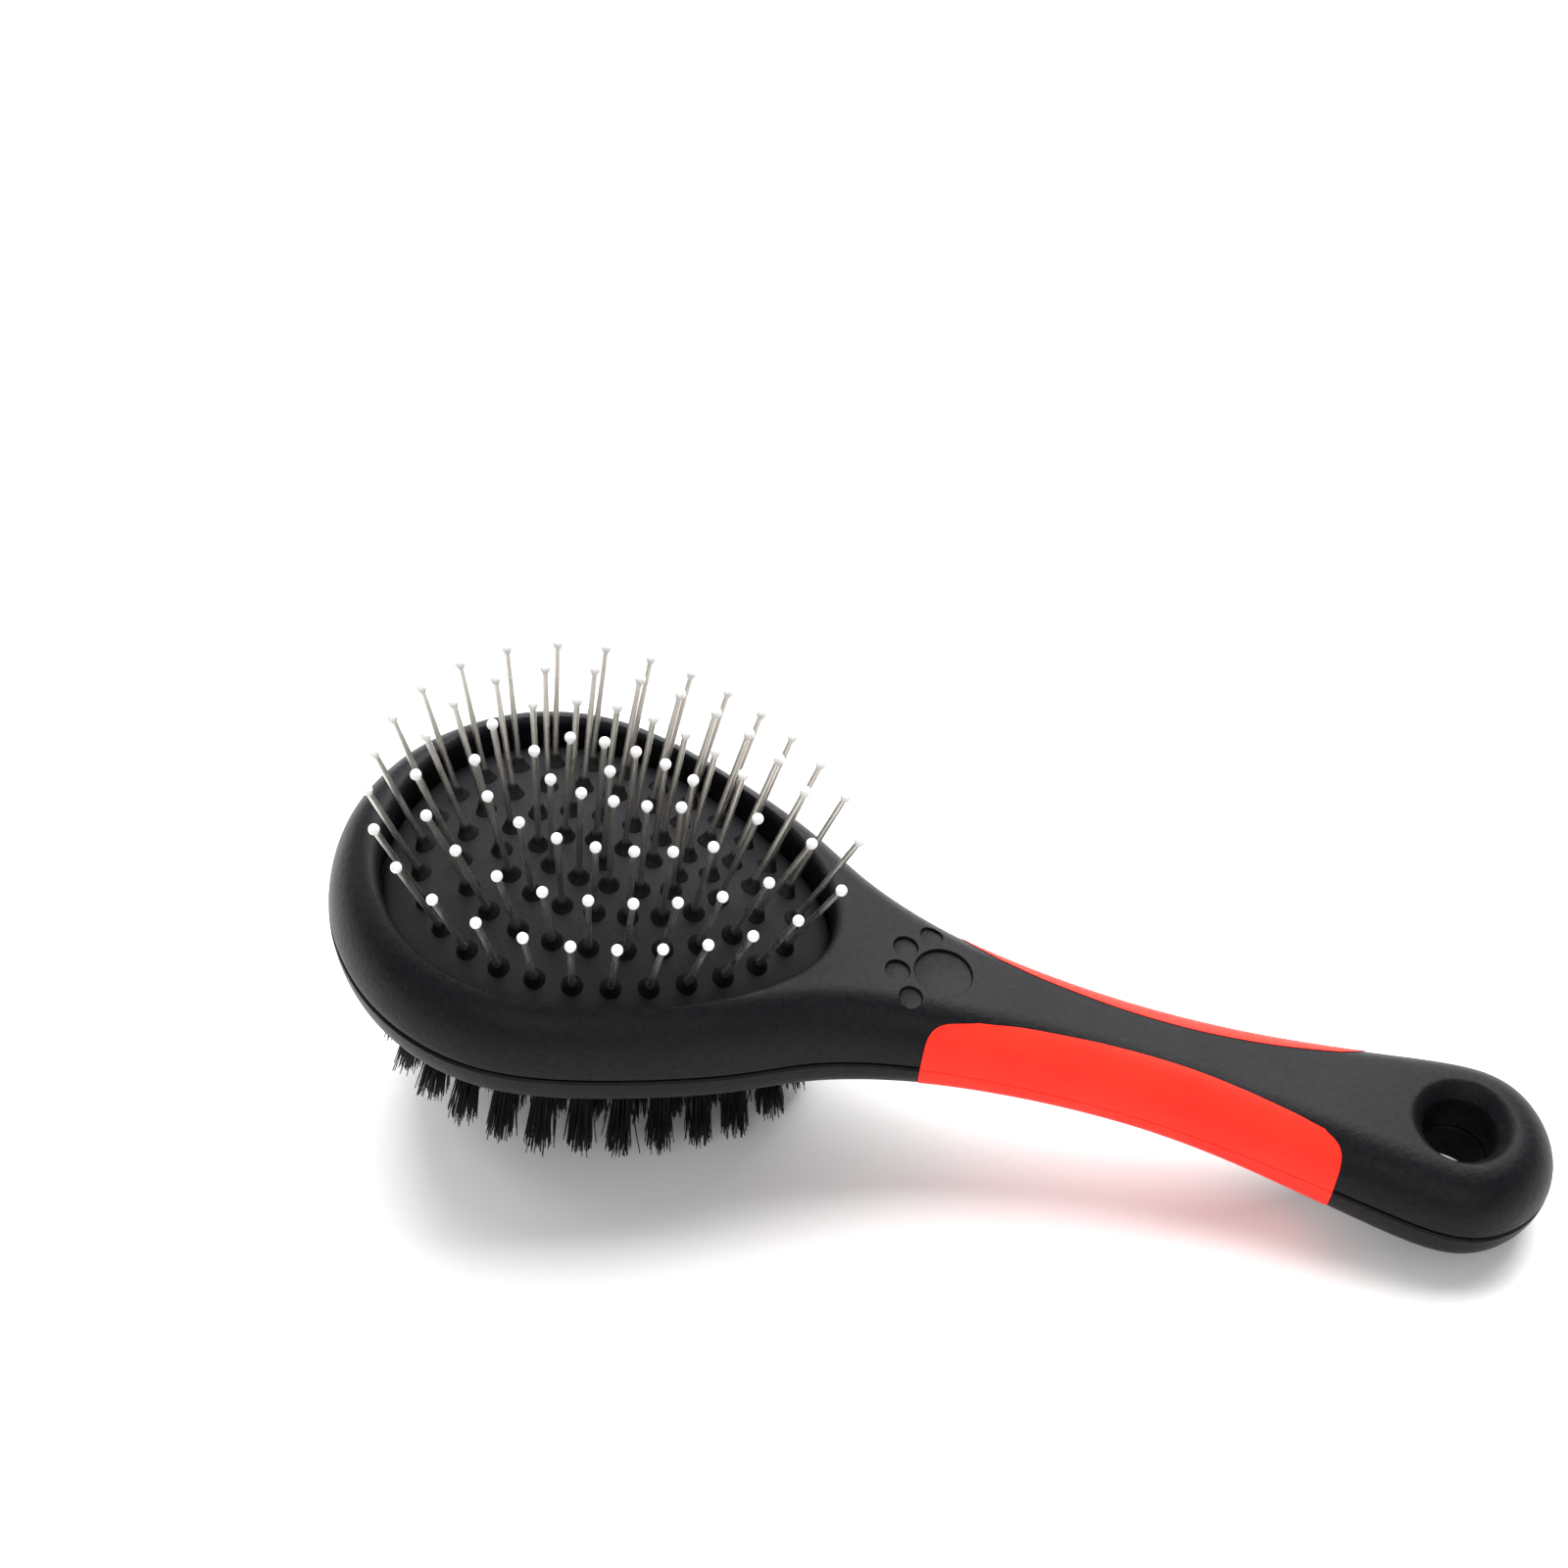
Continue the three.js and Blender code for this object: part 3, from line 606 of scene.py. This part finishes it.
# ------------------------------------------------------------------ tongue behind the parting line
ring, normal = outline_ring(420)
tongue_rings = [np.column_stack([ring + normal * d, np.full(len(ring), z)]) for d, z in ((1.0, -1.3), (1.0, 1.3), (2.0, 1.3), (2.0, -1.3))]
n = len(ring)
tongue_faces = sum([ring_faces(a * n, b * n, n) for a, b in ((0, 1), (1, 2), (2, 3), (3, 0))], [])
tongue = mesh_object("parting_tongue", np.vstack(tongue_rings), tongue_faces)
fix_normals(tongue)
smooth(tongue)
dress(tongue, PLASTIC, "brush_body", "shell_plastic")

# ------------------------------------------------------------------ soft grips
for side, tag in ((1, "upper"), (-1, "lower")):
    for sy, hand in ((1, "left"), (-1, "right")):
        g = half_body(f"soft_grip_{hand}_{tag}", side, -0.12, n=420, steps=18, cols=10, base=0.012, groove=((0.5, 0.0), (0.16, 0.02), (0.03, 0.16)))
        core = half_body("core", side, 1.6, n=200, steps=10, groove=None, base=-2.0, cols=8)
        boolean(g, core)
        boolean(g, prism("plan", grip_plan(sy, 0.1), *((-1, 40) if side > 0 else (-40, 1))), "INTERSECT")
        smooth(g)
        dress(g, GRIP, "brush_body", "grip_rubber", f"grip_{hand}_{tag}")

# ------------------------------------------------------------------ cushion: domed pad with a boss round each pin
def pin_axis(x, y, nx, ny, off, lean):
    a = math.radians(lean)
    d = np.array([nx * math.sin(a), ny * math.sin(a), math.cos(a)])
    return np.array([x, y, pad_z(off)]), d


pin_groups, all_pins = [], []
for name, off, count, phase, lean, parts in PIN_RINGS:
    axes = [pin_axis(x, y, nx, ny, off, lean) for x, y, nx, ny in spaced(off, count, phase)]
    groups = [[axes[i] for i in ids] for ids in arcs(count, parts)]
    if parts == 1:
        groups[0].append(pin_axis(OPEN_CX - 1.5, 0, 0, 0, -31, 0))
    for k, g in enumerate(groups):
        pin_groups.append((f"pin_row_{name}" + (f"_{k + 1}" if parts > 1 else ""), g))
        all_pins += g


def make_pad():
    n = 200
    offs = np.concatenate([np.linspace(-30.6, -1.6, 44), [-1.1, -0.75, -0.55, -0.45]])
    rings = []
    for o in offs:
        p = egg(o, n)
        z = pad_z(o) - (0.0 if o < -1.2 else {-1.1: 0.03, -0.75: 0.14, -0.55: 0.34, -0.45: 0.7}[round(float(o), 2)])
        rings.append(np.column_stack([p, np.full(n, z)]))
    for o, z in ((-0.45, 4.0), (1.9, 4.0), (1.9, 2.55), (-3.4, 2.7)):
        rings.append(np.column_stack([egg(o, n), np.full(n, z)]))
    for o in (-4, -10.5, -17.2, -23.8, -30.0):
        rings.append(np.column_stack([egg(o, n), np.full(n, pad_z(o) - PAD_THICK)]))
    return stack_solid("pad", rings)


pad = make_pad()
parts = []
for c, d in all_pins:
    prof = [(-0.9, 2.15), (-0.1, 2.0), (0.28, 1.72), (0.75, 1.4), (1.3, 1.14), (1.85, 0.98), (2.15, 0.86), (2.28, 0.62)]
    parts.append(tube([c + d * h for h, _ in prof], [r for _, r in prof], 20))
bosses = join("cushion_bosses", parts)
fix_normals(bosses)
smooth(bosses, 60)
# the bosses get the darker copy of the pad rubber, which is painted shade for their shaded sides
dress(bosses, BOSS_PAINTED_SHADE, "cushion", "cushion_rubber")
smooth(pad, 50)
pad.name = "rubber_cushion"
dress(pad, RUBBER, "cushion", "cushion_rubber", "cushion_pad")

# ------------------------------------------------------------------ pins and their beads
for node, group in pin_groups:
    wires, beads = [], []
    for c, d in group:
        hs = np.array([-4.2, -2.6, -2.5, 6.0, 14.0, PIN_OUT - 1.6])
        wires.append(tube([c + d * h for h in hs], [1.1, 1.1, PIN_R, PIN_R, PIN_R, PIN_R], 16))
        prof = [(PIN_OUT - 2.08, PIN_R + 0.01), (PIN_OUT - 1.98, 0.6)]
        for k in range(1, 14):
            t = math.pi * (0.2 + 0.8 * k / 14)
            prof.append((PIN_OUT - BALL_R - BALL_R * math.cos(t), BALL_R * math.sin(t)))
        prof.append((PIN_OUT - 0.004, 0.06))
        beads.append(tube([c + d * h for h, _ in prof], [r for _, r in prof], 20))
    w = join(node.replace("pin_row", "steel_pins"), wires)
    b = join(node.replace("pin_row", "bead_tips"), beads)
    for o in (w, b):
        fix_normals(o)
        smooth(o, 40)
    dress(w, STEEL, "cushion", "pin_steel", node)
    dress(b, BEAD, "cushion", "ball_tip_nylon")

# ------------------------------------------------------------------ bristle tufts
FILAMENTS = 90


def tuft(x, y, nx, ny, lean):
    k = math.tan(math.radians(lean))
    n = FILAMENTS
    rr = np.sqrt((np.arange(n) + 0.5) / n)
    aa = np.arange(n) * 2.399963 + RNG.uniform(0, 6.28)
    unit = np.stack([rr * np.cos(aa), rr * np.sin(aa)], 1)
    root = unit * (TUFT_ROOT_R - 0.12) + RNG.normal(0, 0.04, (n, 2))
    tip = unit * (TUFT_TIP_R + 0.35) + RNG.normal(0, 0.3, (n, 2))
    stray = RNG.random(n) < 0.04
    tip[stray] += RNG.normal(0, 1.0, (int(stray.sum()), 2))
    bow = RNG.normal(0, 0.16, (n, 2))
    clump = RNG.integers(0, 9, n)
    tip += RNG.normal(0, 0.42, (9, 2))[clump]
    zt = TIP_Z + RNG.uniform(0.0, 0.9, n) + RNG.uniform(0.0, 1.3, 9)[clump] + 0.3 * rr ** 2
    zt[stray] += RNG.uniform(0, 1.0, int(stray.sum()))
    levels = np.array([0.0, 0.18, 0.42, 0.7, 1.0])
    z0 = FACE_Z + 2.2
    verts, faces = [], []
    radius = 0.145
    for f in levels:
        z = z0 + (zt - z0) * f
        c = np.stack([x + nx * k * (FACE_Z - z), y + ny * k * (FACE_Z - z)], 1)
        s = f ** 1.25
        c = c + root * (1 - s) + tip * s + bow * math.sin(math.pi * f)
        r = radius * (1.0 if f < 0.95 else 0.72)
        for q in range(3):
            t = 2 * math.pi * q / 3 + aa
            verts.append(np.column_stack([c + r * np.stack([np.cos(t), np.sin(t)], 1), z]))
    v = np.stack(verts)  # (levels*3, n, 3)
    L = len(levels)
    v = v.transpose(1, 0, 2).reshape(-1, 3)
    for i in range(n):
        b = i * L * 3
        for l in range(L - 1):
            for q in range(3):
                j = (q + 1) % 3
                faces.append((b + l * 3 + q, b + l * 3 + j, b + (l + 1) * 3 + j, b + (l + 1) * 3 + q))
        faces.append((b, b + 2, b + 1))
        faces.append((b + (L - 1) * 3, b + (L - 1) * 3 + 1, b + (L - 1) * 3 + 2))
    return v, faces


for name, off, count, phase, lean, parts in TUFT_RINGS:
    pts = spaced(off, count, phase)
    groups = [[pts[i] for i in ids] for ids in arcs(count, parts)]
    if parts == 1:
        groups[0] += [(OPEN_CX - 4.5, 0, 0, 0), (OPEN_CX + 3.5, 0, 0, 0)]
    for k, g in enumerate(groups):
        node = f"bristle_row_{name}" + (f"_{k + 1}" if parts > 1 else "")
        o = join(node.replace("bristle_row", "bristle_tufts"), [tuft(x, y, nx, ny, lean) for x, y, nx, ny in g])
        for p in o.data.polygons:
            p.use_smooth = True
        dress(o, NYLON, "brush_body", "bristle_nylon", node)

# ------------------------------------------------------------------ floor: the brush rests on its bristle ends and its handle end
A, B = np.array([88.5, 0, -31.65]), np.array([212.5, 0, -10.75])
along = (B - A) / np.linalg.norm(B - A)
normal = np.array([-along[2], 0, along[0]])
side = np.array([0, 1.0, 0])
mid = to_row((A + B) / 2)
S = 6.0
floor = mesh_object("floor", [mid + along * a * S + side * b * S for a, b in ((-1, -1), (1, -1), (1, 1), (-1, 1))], [(0, 1, 2, 3)], mm=False)
mat, nt, bsdf, co = new_material("pale_floor")
bsdf.inputs["Base Color"].default_value = (0.96, 0.96, 0.96, 1)
bsdf.inputs["Roughness"].default_value = 0.7
bsdf.inputs["Specular IOR Level"].default_value = 0.2
floor.data.materials.append(mat)

world = bpy.data.worlds.new("studio")
world.use_nodes = True
bg = world.node_tree.nodes["Background"]
bg.inputs["Color"].default_value = (1, 1, 1, 1)
bg.inputs["Strength"].default_value = 0.42
bpy.context.scene.world = world


def area(name, pos, size, power, aim=(0.0, 0.0, 0.02)):
    d = bpy.data.lights.new(name, "AREA")
    d.shape = "RECTANGLE"
    d.size, d.size_y = size
    d.energy = power
    o = bpy.data.objects.new(name, d)
    o.location = pos
    o.rotation_euler = (Vector(aim) - Vector(pos)).to_track_quat("-Z", "Y").to_euler()
    bpy.context.scene.collection.objects.link(o)
    return o


area("softbox_top", (-0.2, 0.85, 1.3), (1.7, 1.5), 58.0)
area("softbox_low_back", (-0.2, 1.5, 0.38), (2.0, 0.3), 7.0)
area("softbox_front", (0.2, -1.2, 0.95), (1.5, 0.6), 8.0)
area("softbox_left", (-1.1, 0.2, 0.7), (0.5, 0.9), 3.0)

bpy.context.scene.view_settings.view_transform = "Standard"
